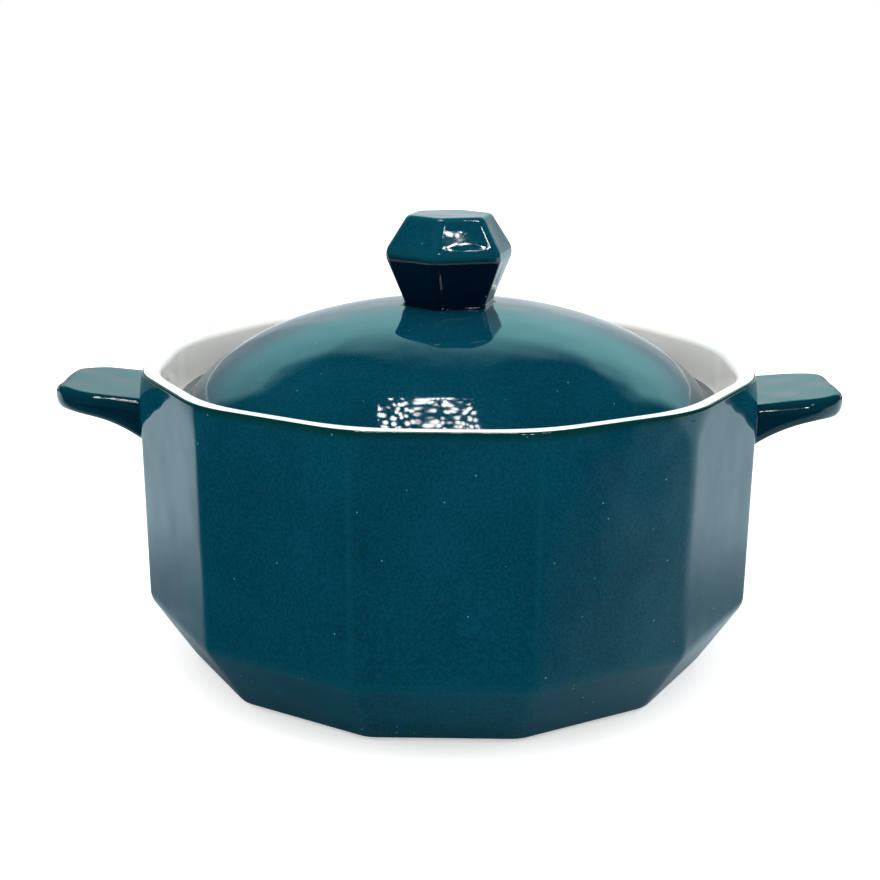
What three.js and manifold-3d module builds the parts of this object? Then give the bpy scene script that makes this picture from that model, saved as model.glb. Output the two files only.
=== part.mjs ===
// A twelve-sided stoneware casserole with two lug handles and a domed lid with a six-sided knob.
// Millimetres, +Z up. The origin is under the middle of the foot ring, and the handles lie along X.
import * as THREE from 'three';
import { mergeVertices } from 'three/addons/utils/BufferGeometryUtils.js';
import Module from 'manifold-3d';

const wasm = await Module();
wasm.setup();

// Glaze, and the gap that is left wherever two pieces meet
const GLAZE_THICKNESS = 0.6;
const JOINT_GAP = 0.3;

// Pot, outside
const POT_SIDES = 12;
const POT_HEIGHT = 111.5;
const POT_ACROSS_FLATS = 220.6;
const POT_CORNER_RADIUS = 7;
const BASE_ACROSS_FLATS = 190;
const BASE_CORNER_RADIUS = 12;
const BASE_EDGE_RADIUS = 2;
const SHOULDER_HEIGHT = 25.7;
const SHOULDER_RADIUS = 9;
const WALL_LEAN = 1;

// Lip: the wall's corners soften over the last stretch below it
const LIP_THICKNESS = 6.4;
const LIP_CORNER_RADIUS = 18;
const LIP_OUTER_RADIUS = 2.6;
const LIP_INNER_RADIUS = 2.8;
const LIP_SOFTENING_HEIGHT = 12;

// Gallery: the step inside the lip that carries the lid
const GALLERY_DEPTH = 17.6;
const GALLERY_DRAFT = 0.4;
const GALLERY_CORNER_RADIUS = 60;
const GALLERY_COVE_RADIUS = 2;
const LEDGE_WIDTH = 6.5;
const LEDGE_NOSE_RADIUS = 1.2;

// Hollow, floor and foot ring
const HOLLOW_DRAFT = 1.6;
const HOLLOW_FLOOR_RADIUS = 24;
const FLOOR_HEIGHT = 10;
const FOOT_HEIGHT = 1.5;
const FOOT_RING_DIAMETER = 172;
const FOOT_RING_WIDTH = 5;
const FOOT_RECESS_HEIGHT = 3.5;

// Lug handles
const HANDLE_LENGTH = 35.2;
const HANDLE_ROOT_WIDTH = 52;
const HANDLE_TIP_WIDTH = 48;
const HANDLE_TOP_BELOW_LIP = 11.8;
const HANDLE_TOP_RISE = 3.5;
const HANDLE_ROOT_THICKNESS = 15.9;
const HANDLE_TIP_THICKNESS = 9.1;
const HANDLE_UNDERSIDE_POWER = 2.4;
const HANDLE_PLAN_RADIUS = 16;
const HANDLE_EDGE_RADIUS = 4;
const HANDLE_TIP_FLAT = 0.6;

// Lid
const LID_PLAY = 3.2;
const LID_RISE = 34.1;
const LID_THICKNESS = 5.6;
const LID_FLANGE_WIDTH = 4.6;
const LID_FLANGE_THICKNESS = 4.5;
const LID_EDGE_RADIUS = 1.6;
const LID_CROWN_REACH = 45.4;
const LID_SHOULDER_REACH = 25;
const LID_SHOULDER_ANGLE = THREE.MathUtils.degToRad(56.6);
const LID_SEAT_WIDTH = 3.2;

// Knob
const KNOB_SIDES = 6;
const KNOB_TURN = THREE.MathUtils.degToRad(-13);
const KNOB_HEIGHT = 32.4;
const KNOB_GIRDLE_HEIGHT = 18.8;
const KNOB_FOOT_ACROSS_FLATS = 30.2;
const KNOB_GIRDLE_ACROSS_FLATS = 44.1;
const KNOB_TOP_ACROSS_FLATS = 28.5;
const KNOB_CORNER_RADIUS = 4;
const KNOB_GIRDLE_RADIUS = 7;
const KNOB_TOP_RADIUS = 2.2;

// Fineness of the facets
const POINTS_PER_CORNER = 3;
const POINTS_PER_HANDLE_EDGE = 4;
const LID_SEGMENTS = 48;
const EDGE_STEPS = 2;
const CURVE_STEPS = 3;
const LIP_STEPS = 4;
const LIP_TEAL_STEPS = 3;
const FLOOR_STEPS = 4;
const SOFTENING_STEPS = 3;
const DOME_STEPS = 7;
const HANDLE_STEPS = 5;
const HANDLE_TIP_STEPS = 5;
const HANDLE_TIP_SWING = THREE.MathUtils.degToRad(84);

// Sizes that follow from the ones above
const ROUND = Infinity;
const coatToClay = GLAZE_THICKNESS + JOINT_GAP;
const windowReach = 2 * coatToClay;
const shoulderApothem = POT_ACROSS_FLATS / 2;
const lipApothem = shoulderApothem + WALL_LEAN;
const lipInnerApothem = lipApothem - LIP_THICKNESS;
const galleryApothem = lipInnerApothem - GALLERY_DRAFT;
const ledgeHeight = POT_HEIGHT - GALLERY_DEPTH;
const ledgeRadius = galleryApothem - LEDGE_WIDTH;
const hollowRadius = ledgeRadius - HOLLOW_DRAFT;
const footRingRadius = FOOT_RING_DIAMETER / 2;
const handleRootTop = POT_HEIGHT - HANDLE_TOP_BELOW_LIP;
const handleRootBottom = handleRootTop - HANDLE_ROOT_THICKNESS;
const handleWall = wallApothem(handleRootBottom);
const handleRoot = handleWall - GLAZE_THICKNESS;
const handleTip = handleWall + HANDLE_LENGTH;
const lidRadius = galleryApothem - LID_PLAY;
const lidBottom = ledgeHeight + JOINT_GAP;
const lidFlangeTop = lidBottom + LID_FLANGE_THICKNESS;
const lidCrown = lidFlangeTop + LID_RISE;
const domeRadius = lidRadius - LID_FLANGE_WIDTH;

// The wall leans out a little from the shoulder to the lip.
function wallApothem(z) {
  return THREE.MathUtils.mapLinear(z, SHOULDER_HEIGHT, POT_HEIGHT, shoulderApothem, lipApothem);
}

// A profile is a list of stations. A station has its distance r from the axis, measured to the flat of the
// polygon, its height z, and the corner radius of the polygon there. A station with a round gets a fillet.
function filletedProfile(stations) {
  const profile = [];
  stations.forEach((station, i) => {
    if (!station.round) {
      profile.push(station);
      return;
    }
    const before = stations[i - 1];
    const after = stations[i + 1];
    const here = new THREE.Vector2(station.r, station.z);
    const back = new THREE.Vector2(before.r, before.z).sub(here).normalize();
    const ahead = new THREE.Vector2(after.r, after.z).sub(here).normalize();
    const half = back.angleTo(ahead) / 2;
    const inward = back.clone().add(ahead).normalize();
    const centre = here.clone().addScaledVector(inward, station.round / Math.sin(half));
    const spoke = here.clone().addScaledVector(back, station.round / Math.tan(half)).sub(centre);
    const turn = Math.sign(back.cross(ahead)) * (2 * half - Math.PI);
    for (let k = 0; k <= station.steps; k++) {
      const arm = spoke.clone().rotateAround(new THREE.Vector2(), (turn * k) / station.steps);
      profile.push({ ...station, r: centre.x + arm.x, z: centre.y + arm.y });
    }
  });
  return profile;
}

// The same profile moved to its left-hand side, which is into the clay, with mitred corners.
function offsetProfile(profile, distance) {
  const normals = profile.slice(1).map((next, i) => {
    const run = new THREE.Vector2(next.r - profile[i].r, next.z - profile[i].z).normalize();
    return new THREE.Vector2(-run.y, run.x);
  });
  return profile.map((station, i) => {
    const first = normals[Math.max(i - 1, 0)];
    const second = normals[Math.min(i, normals.length - 1)];
    const mitre = first.clone().add(second).divideScalar(1 + first.dot(second));
    const sideways = station.r === 0 ? 0 : mitre.x * distance;
    return {
      r: station.r + sideways,
      z: station.z + mitre.y * distance,
      corner: station.corner + sideways,
    };
  });
}

// The profile without the end of its last stretch, so that the next coat can start there.
function pulledBack(profile, gap) {
  const [previous, last] = profile.slice(-2);
  const share = gap / Math.hypot(last.r - previous.r, last.z - previous.z);
  const end = { ...last };
  end.r = THREE.MathUtils.lerp(last.r, previous.r, share);
  end.z = THREE.MathUtils.lerp(last.z, previous.z, share);
  return [...profile.slice(0, -1), end];
}

// One level ring of a regular polygon with round corners. Its points are at even steps of direction, so the
// same points make a circle where the corner radius is as large as the polygon.
function polygonRing(sides, station, turn = 0) {
  const half = Math.PI / sides;
  const corner = Math.min(station.corner, station.r);
  const hub = (station.r - corner) / Math.cos(half);
  const ring = [];
  for (let side = 0; side < sides; side++) {
    const middle = turn + (2 * side + 1) * half;
    for (let k = 0; k < POINTS_PER_CORNER; k++) {
      const heading = middle + half * ((2 * k + 1) / POINTS_PER_CORNER - 1);
      const x = hub * Math.cos(middle) + corner * Math.cos(heading);
      const y = hub * Math.sin(middle) + corner * Math.sin(heading);
      ring.push(new THREE.Vector3(x, y, station.z));
    }
  }
  return ring;
}

// A skin through rings with equal numbers of points. A loop joins the last ring to the first. Otherwise each
// end is closed by a fan to its middle.
function loft(rings, isLoop = false) {
  const count = rings[0].length;
  const vertices = rings.flat();
  const triangles = [];
  const bands = isLoop ? rings.length : rings.length - 1;
  for (let band = 0; band < bands; band++) {
    const lower = band * count;
    const upper = ((band + 1) % rings.length) * count;
    for (let k = 0; k < count; k++) {
      const next = (k + 1) % count;
      triangles.push(lower + k, lower + next, upper + next);
      triangles.push(lower + k, upper + next, upper + k);
    }
  }
  if (!isLoop) {
    const middleOf = (ring) => ring.reduce((sum, p) => sum.add(p), new THREE.Vector3()).divideScalar(count);
    const start = vertices.push(middleOf(rings[0])) - 1;
    const end = vertices.push(middleOf(rings.at(-1))) - 1;
    const last = bands * count;
    for (let k = 0; k < count; k++) {
      const next = (k + 1) % count;
      triangles.push(start, next, k);
      triangles.push(end, last + k, last + next);
    }
  }
  const geometry = new THREE.BufferGeometry().setFromPoints(vertices);
  geometry.setIndex(triangles);
  return geometry;
}

// A solid of revolution about Z. Its profile starts and ends on the axis.
function revolve(profile) {
  const points = profile.map((station) => new THREE.Vector2(station.r, station.z));
  return new THREE.LatheGeometry(points, LID_SEGMENTS).rotateX(Math.PI / 2);
}

function toSolid(geometry) {
  const bare = geometry.clone();
  bare.deleteAttribute('normal');
  bare.deleteAttribute('uv');
  const merged = mergeVertices(bare);
  const vertProperties = merged.attributes.position.array;
  const triVerts = new Uint32Array(merged.index.array);
  return new wasm.Manifold(new wasm.Mesh({ numProp: 3, vertProperties, triVerts }));
}

function subtract(geometry, cutters) {
  const solid = cutters.reduce((rest, cutter) => rest.subtract(toSolid(cutter)), toSolid(geometry));
  const mesh = solid.getMesh();
  const result = new THREE.BufferGeometry();
  result.setAttribute('position', new THREE.BufferAttribute(mesh.vertProperties, mesh.numProp));
  result.setIndex(new THREE.BufferAttribute(mesh.triVerts, 1));
  return result;
}

const glossyTeal = () => new THREE.MeshStandardMaterial({ color: 0x0a4a55, roughness: 0.08, metalness: 0 });
const glossyWhite = () => new THREE.MeshStandardMaterial({ color: 0xf1efe8, roughness: 0.1, metalness: 0 });
const bareClay = () => new THREE.MeshStandardMaterial({ color: 0xdfd6c6, roughness: 0.8, metalness: 0 });

const casserole = new THREE.Group();
const pot = new THREE.Group();
const lid = new THREE.Group();
casserole.add(pot, lid);

function addPiece(parent, name, geometry, material) {
  geometry.computeVertexNormals();
  const piece = new THREE.Mesh(geometry, material);
  piece.name = name;
  parent.add(piece);
  return piece;
}

// Handles: sections along X, each a rectangle with round corners. The top climbs a little towards the tip,
// the underside sweeps down to the root, and the plan's end has round corners.
function handleSection(x, margin = 0) {
  const share = Math.max(x - handleWall, 0) / HANDLE_LENGTH;
  const intoPlanCorner = Math.max(x - (handleTip - HANDLE_PLAN_RADIUS), 0);
  const intoTipEdge = Math.max(x - (handleTip - HANDLE_EDGE_RADIUS), 0);
  const planInset = HANDLE_PLAN_RADIUS - Math.sqrt(HANDLE_PLAN_RADIUS ** 2 - intoPlanCorner ** 2);
  const edgeInset = HANDLE_EDGE_RADIUS - Math.sqrt(HANDLE_EDGE_RADIUS ** 2 - intoTipEdge ** 2);
  const tipBottom = handleRootTop + HANDLE_TOP_RISE - HANDLE_TIP_THICKNESS;
  const rootDrop = tipBottom - handleRootBottom;
  const width = THREE.MathUtils.lerp(HANDLE_ROOT_WIDTH, HANDLE_TIP_WIDTH, share);
  const top = handleRootTop + HANDLE_TOP_RISE * share - edgeInset + margin;
  const bottom = tipBottom - rootDrop * (1 - share) ** HANDLE_UNDERSIDE_POWER + edgeInset - margin;
  const halfWidth = width / 2 - planInset + margin;
  const halfHeight = (top - bottom) / 2;
  const radius = Math.min(HANDLE_EDGE_RADIUS + margin, halfHeight - HANDLE_TIP_FLAT / 2);
  const section = [];
  for (let quarter = 0; quarter < 4; quarter++) {
    const sideways = quarter === 0 || quarter === 3 ? 1 : -1;
    const upwards = quarter < 2 ? 1 : -1;
    for (let k = 0; k < POINTS_PER_HANDLE_EDGE; k++) {
      const heading = (Math.PI / 2) * (quarter + k / (POINTS_PER_HANDLE_EDGE - 1));
      const y = sideways * (halfWidth - radius) + radius * Math.cos(heading);
      const z = (top + bottom) / 2 + upwards * (halfHeight - radius) + radius * Math.sin(heading);
      section.push(new THREE.Vector3(x, y, z));
    }
  }
  return section;
}

function handleGeometry() {
  const straight = handleTip - HANDLE_PLAN_RADIUS - handleRoot;
  const sections = [];
  for (let k = 0; k < HANDLE_STEPS; k++) {
    sections.push(handleSection(handleRoot + (straight * k) / HANDLE_STEPS));
  }
  for (let k = 0; k <= HANDLE_TIP_STEPS; k++) {
    const swing = (HANDLE_TIP_SWING * k) / HANDLE_TIP_STEPS;
    sections.push(handleSection(handleTip - HANDLE_PLAN_RADIUS * (1 - Math.sin(swing))));
  }
  return loft(sections);
}

// The hole in the pot's coat that lets a handle's root through to the clay.
function handleWindow() {
  const section = handleSection(handleRoot, JOINT_GAP);
  const shifted = (dx) => section.map((point) => point.clone().setX(handleWall + dx));
  return loft([-windowReach, windowReach].map(shifted));
}

// Pot: its finished surface runs from the foot ring out and up to the lip, then down inside to the floor.
function softenedWall() {
  const bottom = POT_HEIGHT - LIP_SOFTENING_HEIGHT;
  const top = POT_HEIGHT - LIP_OUTER_RADIUS;
  return Array.from({ length: SOFTENING_STEPS }, (_, k) => {
    const share = k / SOFTENING_STEPS;
    const corner = THREE.MathUtils.lerp(POT_CORNER_RADIUS, LIP_CORNER_RADIUS, share ** 2);
    const z = THREE.MathUtils.lerp(bottom, top, share);
    return { r: wallApothem(z), z, corner };
  });
}

const baseEdge = { r: BASE_ACROSS_FLATS / 2, z: FOOT_HEIGHT, corner: BASE_CORNER_RADIUS };
const shoulder = { r: shoulderApothem, z: SHOULDER_HEIGHT, corner: POT_CORNER_RADIUS };
const lipOuter = { name: 'lip', r: lipApothem, z: POT_HEIGHT, corner: LIP_CORNER_RADIUS };
const lipInner = { r: lipInnerApothem, z: POT_HEIGHT, corner: GALLERY_CORNER_RADIUS };
const cove = { r: galleryApothem, z: ledgeHeight, corner: GALLERY_CORNER_RADIUS };
const ledgeNose = { r: ledgeRadius, z: ledgeHeight, corner: ROUND };
const floorEdge = { r: hollowRadius, z: FLOOR_HEIGHT, corner: ROUND };
const potSurface = filletedProfile([
  { r: footRingRadius + JOINT_GAP, z: FOOT_HEIGHT, corner: ROUND },
  { ...baseEdge, round: BASE_EDGE_RADIUS, steps: EDGE_STEPS },
  { ...shoulder, round: SHOULDER_RADIUS, steps: CURVE_STEPS },
  ...softenedWall(),
  { ...lipOuter, round: LIP_OUTER_RADIUS, steps: LIP_STEPS },
  { ...lipInner, round: LIP_INNER_RADIUS, steps: CURVE_STEPS },
  { ...cove, round: GALLERY_COVE_RADIUS, steps: EDGE_STEPS },
  { ...ledgeNose, round: LEDGE_NOSE_RADIUS, steps: EDGE_STEPS },
  { ...floorEdge, round: HOLLOW_FLOOR_RADIUS, steps: FLOOR_STEPS },
  { r: 0, z: FLOOR_HEIGHT, corner: ROUND },
]);

// The teal coat ends and the white one starts high on the outer edge of the lip.
const colourBreak = potSurface.findIndex((station) => station.name === lipOuter.name) + LIP_TEAL_STEPS;
const potRings = (profile) => profile.filter((s) => s.r > 0).map((s) => polygonRing(POT_SIDES, s));

const footProfile = [
  { r: footRingRadius - FOOT_RING_WIDTH, z: FOOT_RECESS_HEIGHT, corner: ROUND },
  { r: footRingRadius - FOOT_RING_WIDTH, z: 0, corner: ROUND },
  { r: footRingRadius, z: 0, corner: ROUND },
  { r: footRingRadius, z: FOOT_HEIGHT + coatToClay, corner: ROUND },
];
const clayProfile = [...footProfile, ...offsetProfile(potSurface, coatToClay).slice(1)];
addPiece(pot, 'pot_body', loft(potRings(clayProfile)), bareClay());

const outside = pulledBack(potSurface.slice(0, colourBreak + 1), JOINT_GAP);
const outsideBack = offsetProfile(outside, GLAZE_THICKNESS).reverse();
const coat = loft(potRings([...outside, ...outsideBack]), true);
const rightWindow = handleWindow();
const leftWindow = handleWindow().rotateZ(Math.PI);
addPiece(pot, 'pot_outer_glaze', subtract(coat, [leftWindow, rightWindow]), glossyTeal());

const inside = potSurface.slice(colourBreak);
const insideBack = offsetProfile(inside, GLAZE_THICKNESS).reverse();
addPiece(pot, 'pot_liner_glaze', loft(potRings([...insideBack, ...inside])), glossyWhite());

addPiece(pot, 'handle_right', handleGeometry(), glossyTeal());
addPiece(pot, 'handle_left', handleGeometry(), glossyTeal()).rotation.z = Math.PI;

// Lid: its finished surface runs from the middle of the underside out to the edge, then over the top.
const dome = new THREE.CubicBezierCurve(
  new THREE.Vector2(domeRadius, lidFlangeTop),
  new THREE.Vector2(
    domeRadius - LID_SHOULDER_REACH * Math.cos(LID_SHOULDER_ANGLE),
    lidFlangeTop + LID_SHOULDER_REACH * Math.sin(LID_SHOULDER_ANGLE),
  ),
  new THREE.Vector2(LID_CROWN_REACH, lidCrown),
  new THREE.Vector2(0, lidCrown),
);
const domeProfile = dome.getSpacedPoints(DOME_STEPS).map((point) => ({ r: point.x, z: point.y }));
const underProfile = offsetProfile(domeProfile, LID_THICKNESS).reverse();
const seatOuter = lidRadius - LID_EDGE_RADIUS;
const seatInner = seatOuter - LID_SEAT_WIDTH;
const underside = [...underProfile, { r: seatInner, z: lidBottom }];
const topside = filletedProfile([
  { r: seatOuter, z: lidBottom },
  { r: lidRadius, z: lidBottom + LID_EDGE_RADIUS },
  { r: lidRadius, z: lidFlangeTop, round: LID_EDGE_RADIUS, steps: EDGE_STEPS },
  ...domeProfile,
]);

const seat = [
  { r: seatInner, z: lidBottom },
  { r: seatOuter - JOINT_GAP, z: lidBottom },
];
const clayUnderside = offsetProfile(underside, coatToClay);
const clayTopside = offsetProfile(topside, coatToClay);
addPiece(lid, 'lid_body', revolve([...clayUnderside, ...seat, ...clayTopside]), bareClay());

const underCoat = pulledBack(underside, JOINT_GAP);
const underCoatBack = offsetProfile(underCoat, GLAZE_THICKNESS).reverse();
addPiece(lid, 'lid_under_glaze', revolve([...underCoat, ...underCoatBack]), glossyWhite());

// Knob: a double cone with flat sides. Its foot reaches through the coat to the clay.
const knobFootApothem = KNOB_FOOT_ACROSS_FLATS / 2;
const knobGirdle = { r: KNOB_GIRDLE_ACROSS_FLATS / 2, z: lidCrown + KNOB_GIRDLE_HEIGHT };
const knobTop = { r: KNOB_TOP_ACROSS_FLATS / 2, z: lidCrown + KNOB_HEIGHT };
const knobProfile = filletedProfile([
  { r: knobFootApothem, z: lidCrown - GLAZE_THICKNESS },
  { r: knobFootApothem, z: lidCrown },
  { ...knobGirdle, round: KNOB_GIRDLE_RADIUS, steps: CURVE_STEPS },
  { ...knobTop, round: KNOB_TOP_RADIUS, steps: CURVE_STEPS },
  { r: 0, z: knobTop.z },
]);
const knobRing = (station) => polygonRing(KNOB_SIDES, { ...station, corner: KNOB_CORNER_RADIUS }, KNOB_TURN);
addPiece(lid, 'knob', loft(knobProfile.filter((s) => s.r > 0).map(knobRing)), glossyTeal());

// The hole in the lid's coat that lets the knob's foot through to the clay.
const knobWindow = loft([-windowReach, windowReach].map((dz) => {
  return knobRing({ r: knobFootApothem + JOINT_GAP, z: lidCrown + dz });
}));
const topCoatBack = offsetProfile(topside, GLAZE_THICKNESS).reverse();
const topCoat = revolve([...topCoatBack, ...topside]);
addPiece(lid, 'lid_top_glaze', subtract(topCoat, [knobWindow]), glossyTeal());

export default casserole;
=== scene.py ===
# %% [markdown]
# # A twelve-sided casserole in teal and white glaze
# The pot is cast stoneware under a thick glass coat: teal outside, white inside, and bare only where it stands
# and where its lid sits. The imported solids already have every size, but they are made of flat facets. A glossy
# glaze shows each facet in its reflections, so this lesson works out the same surfaces again on fine grids, and
# lets each one stand for its solid.

# %% Load the frame
from math import cos, radians, sin

import bmesh
import bpy
import numpy as np
from mathutils import Matrix, Vector


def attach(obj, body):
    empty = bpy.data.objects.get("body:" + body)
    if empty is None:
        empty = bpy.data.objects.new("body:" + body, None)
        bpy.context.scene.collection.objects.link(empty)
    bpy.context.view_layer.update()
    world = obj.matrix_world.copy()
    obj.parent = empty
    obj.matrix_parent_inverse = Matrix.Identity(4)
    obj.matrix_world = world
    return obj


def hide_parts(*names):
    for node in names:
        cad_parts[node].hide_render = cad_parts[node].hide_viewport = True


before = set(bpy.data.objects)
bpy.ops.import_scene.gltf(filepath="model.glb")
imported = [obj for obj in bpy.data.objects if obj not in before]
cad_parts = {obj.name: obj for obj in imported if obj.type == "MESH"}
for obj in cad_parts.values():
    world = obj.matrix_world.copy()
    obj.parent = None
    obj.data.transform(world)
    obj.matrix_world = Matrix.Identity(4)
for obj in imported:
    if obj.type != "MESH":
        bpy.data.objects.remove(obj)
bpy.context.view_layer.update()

MM = 0.001
print("solids:", ", ".join(sorted(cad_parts)))

# %% [markdown]
# ## The camera
# The photograph was taken from a little above the lip, just over half a metre away. Its lens, place and tilt come
# from fitting the corners of the twelve-sided wall, so the render can be laid over it. The matrix is written out,
# because a tracking constraint can't hold the small roll that a hand-held camera has.

# %% Camera
LENS = 60.17
CAMERA_DISTANCE = 561.73 * MM
CAMERA_RISE = radians(15.023)
CAMERA_SWING = radians(0.826)
CAMERA_ROLL = radians(0.356)
CAMERA_TARGET = (-3.08 * MM, 0.0, 79.186 * MM)


def place_camera():
    """Looks along (0, cos rise, -sin rise), swung about Z, from a point that far behind the target."""
    swing = Matrix.Rotation(CAMERA_SWING, 3, "Z")
    ahead = Vector((0, cos(CAMERA_RISE), -sin(CAMERA_RISE)))
    above = Vector((0, sin(CAMERA_RISE), cos(CAMERA_RISE)))
    right = Vector((1, 0, 0))
    place = swing @ (Vector(CAMERA_TARGET) - CAMERA_DISTANCE * ahead)
    rolled_right = cos(CAMERA_ROLL) * right + sin(CAMERA_ROLL) * above
    rolled_up = cos(CAMERA_ROLL) * above - sin(CAMERA_ROLL) * right
    axes = Matrix((swing @ rolled_right, swing @ rolled_up, swing @ -ahead)).transposed()
    data = bpy.data.cameras.new("camera")
    data.lens = LENS
    camera = bpy.data.objects.new("camera", data)
    camera.matrix_world = Matrix.Translation(place) @ axes.to_4x4()
    bpy.context.scene.collection.objects.link(camera)
    return camera


bpy.context.scene.camera = place_camera()
print("camera at", [round(v, 3) for v in bpy.context.scene.camera.matrix_world.translation])

# %% [markdown]
# ## From a profile to a skin
# A potter draws a pot as one profile: foot, wall, lip, then down the inside. Here a profile is a list of stations,
# each with a distance from the axis, a height, and the corner radius that the polygon has there. A round form is
# the same thing with a corner radius as large as its distance. Spinning the profile would lose the flats, and a
# Bevel modifier would need one width for all edges, so the fillets are put into the profile itself.

# %% Profiles
ROUND = 1e6
FILLET_STEPS = 10


def unit(vector):
    """The vector divided by its length."""
    return vector / np.linalg.norm(vector)


def fillet_arc(before, here, after, radius):
    """The arc that touches both stretches. Its centre is on their bisector, at radius / sin(half the angle)."""
    back = unit(before - here)
    ahead = unit(after - here)
    half = np.arccos(np.clip(back @ ahead, -1, 1)) / 2
    centre = here + unit(back + ahead) * radius / np.sin(half)
    spoke = here + back * radius / np.tan(half) - centre
    turn = np.sign(back[0] * ahead[1] - back[1] * ahead[0]) * (2 * half - np.pi)
    angle = turn * np.linspace(0, 1, FILLET_STEPS + 1)
    across = np.array([-spoke[1], spoke[0]])
    return centre + np.outer(np.cos(angle), spoke) + np.outer(np.sin(angle), across)


def filleted(stations):
    """Stations (distance, height, corner, fillet) to rows of (distance, height, corner) with the fillets in."""
    points = np.array([station[:2] for station in stations], float)
    rows = []
    for k, (distance, height, corner, fillet) in enumerate(stations):
        arc = points[k:k + 1]
        if fillet:
            arc = fillet_arc(points[k - 1], points[k], points[k + 1], fillet)
        rows.append(np.column_stack([arc, np.full(len(arc), corner)]))
    return np.concatenate(rows)


def divided(profile, longest):
    """The profile with extra stations, so that no stretch is longer than that many millimetres."""
    length = np.hypot(*np.diff(profile[:, :2], axis=0).T)
    count = np.maximum(np.ceil(length / longest), 1).astype(int)
    start = np.repeat(np.arange(len(count)), count)
    share = (np.arange(count.sum()) - np.repeat(np.cumsum(count) - count, count)) / np.repeat(count, count)
    capped = np.column_stack([profile[:, :2], np.minimum(profile[:, 2], profile[:, 0])])
    between = capped[start] + share[:, None] * (capped[start + 1] - capped[start])
    return np.concatenate([between, capped[-1:]])


def sunk(profile, depth):
    """The profile moved to its left, into the clay, along the mitre of the two stretches at each station."""
    run = np.diff(profile[:, :2], axis=0)
    run /= np.linalg.norm(run, axis=1)[:, None]
    left = np.column_stack([-run[:, 1], run[:, 0]])
    first = np.concatenate([left[:1], left])
    second = np.concatenate([left, left[-1:]])
    mitre = (first + second) / (1 + (first * second).sum(1))[:, None]
    sideways = np.where(profile[:, 0] == 0, 0, mitre[:, 0] * depth)
    return profile + np.column_stack([sideways, mitre[:, 1] * depth, sideways])


square_corner = filleted([(1, 0, ROUND, 0), (2, 0, ROUND, 0.5), (2, 1, ROUND, 0)])
print("a square corner with a fillet:", len(square_corner), "stations")

# %% [markdown]
# ## Rings with flats and round corners
# In the middle of a flat, the wall is at the apothem. Towards a corner it runs off as apothem / cos(angle), until
# the corner's arc takes over. Written as a distance for each direction, all rings share the same directions, so a
# twelve-sided lip can pass into a round ledge without a twist. The directions crowd together at the corners, where
# the surface turns.

# %% Rings
CROWDING = 2.2


def directions(sides, per_half, turn=0.0):
    """Angles round the axis: half a side is (1 - (1 - t) ** crowding), mirrored, and repeated for all sides."""
    half = np.pi / sides
    share = np.linspace(0, 1, per_half + 1)
    rise = half * (1 - (1 - share) ** CROWDING)
    side = np.concatenate([rise[:-1], 2 * half - rise[:0:-1]])
    return turn + (side[None, :] + 2 * half * np.arange(sides)[:, None]).ravel()


def ring_distance(angle, apothem, corner, sides):
    """Distance of a rounded polygon from its axis, and how far into a corner that is, from 0 to 1.
    On a flat it is apothem / cos(angle). On a corner it is where the ray meets the circle round the hub."""
    half = np.pi / sides
    off_middle = np.abs((angle + half) % (2 * half) - half)
    off_corner = half - off_middle
    corner = np.minimum(corner, apothem)
    hub = (apothem - corner) / np.cos(half)
    on_flat = apothem / np.cos(off_middle)
    on_corner = hub * np.cos(off_corner) + np.sqrt(np.maximum(corner ** 2 - (hub * np.sin(off_corner)) ** 2, 0))
    flat_end = np.arctan2((apothem - corner) * np.tan(half), np.maximum(apothem, 1e-9))
    into_corner = np.clip((off_middle - flat_end) / np.maximum(half - flat_end, 1e-9), 0, 1)
    return np.where(off_middle <= flat_end, on_flat, on_corner), into_corner


sharp_hexagon, _ = ring_distance(np.radians([0, 30]), 1.0, 0.0, 6)
print("a hexagon's flat and corner:", sharp_hexagon.round(3), "of its apothem")

# %% [markdown]
# ## Where the glaze runs thin
# Melted glass draws back from sharp edges and gathers in hollows. The colour there differs, so each point gets a
# number from 0, a flat, to 1, a sharp outer edge. It comes from how fast the profile and the ring turn.

# %% Thin edges
SHARP_RADIUS = 3.0


def profile_sharpness(profile):
    """Turn of the profile per millimetre, times a sharp edge's radius. Outer edges turn left and count."""
    run = np.diff(profile[:, :2], axis=0)
    length = np.maximum(np.linalg.norm(run, axis=1), 1e-6)
    heading = np.unwrap(np.arctan2(run[:, 1], run[:, 0]))
    turn = np.diff(heading) / ((length[1:] + length[:-1]) / 2)
    sharp = np.clip(np.concatenate([[0], turn, [0]]) * SHARP_RADIUS, 0, 1)
    return np.convolve(np.pad(sharp, 1, mode="edge"), [0.25, 0.5, 0.25], mode="valid")


def skin(profile, angle, sides, turn=0.0):
    """Points (rows, columns, 3) in millimetres of a profile carried round the axis, and their thinness.
    A corner of the ring counts only as far as the profile is steep there: a level top has no edges in it."""
    distance, into_corner = ring_distance(angle[None, :] - turn, profile[:, :1], profile[:, 2:], sides)
    height = np.broadcast_to(profile[:, 1:2], distance.shape)
    points = np.stack([distance * np.cos(angle), distance * np.sin(angle), height], -1)
    run = np.gradient(profile[:, :2], axis=0)
    steep = np.abs(run[:, 1:]) / np.maximum(np.linalg.norm(run, axis=1), 1e-6)[:, None]
    ring_sharpness = steep * into_corner * np.clip(SHARP_RADIUS / np.maximum(profile[:, 2:], 1e-6), 0, 1)
    return points, np.maximum(ring_sharpness, profile_sharpness(profile)[:, None])


print("sharpness of a fillet of 0.5 mm:", profile_sharpness(square_corner).max())

# %% [markdown]
# ## From a grid to a mesh
# Rows follow the profile and columns go round. A coat is a closed shell: its outer skin, then the same profile sunk
# by the coat's thickness and walked backwards, joined into a loop. Where a row shrinks to the axis, its points are
# merged, so that the pole is a fan of triangles and the mesh is closed. The marks on the points, such as the
# thinness, go into attributes that a material can read.

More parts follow.
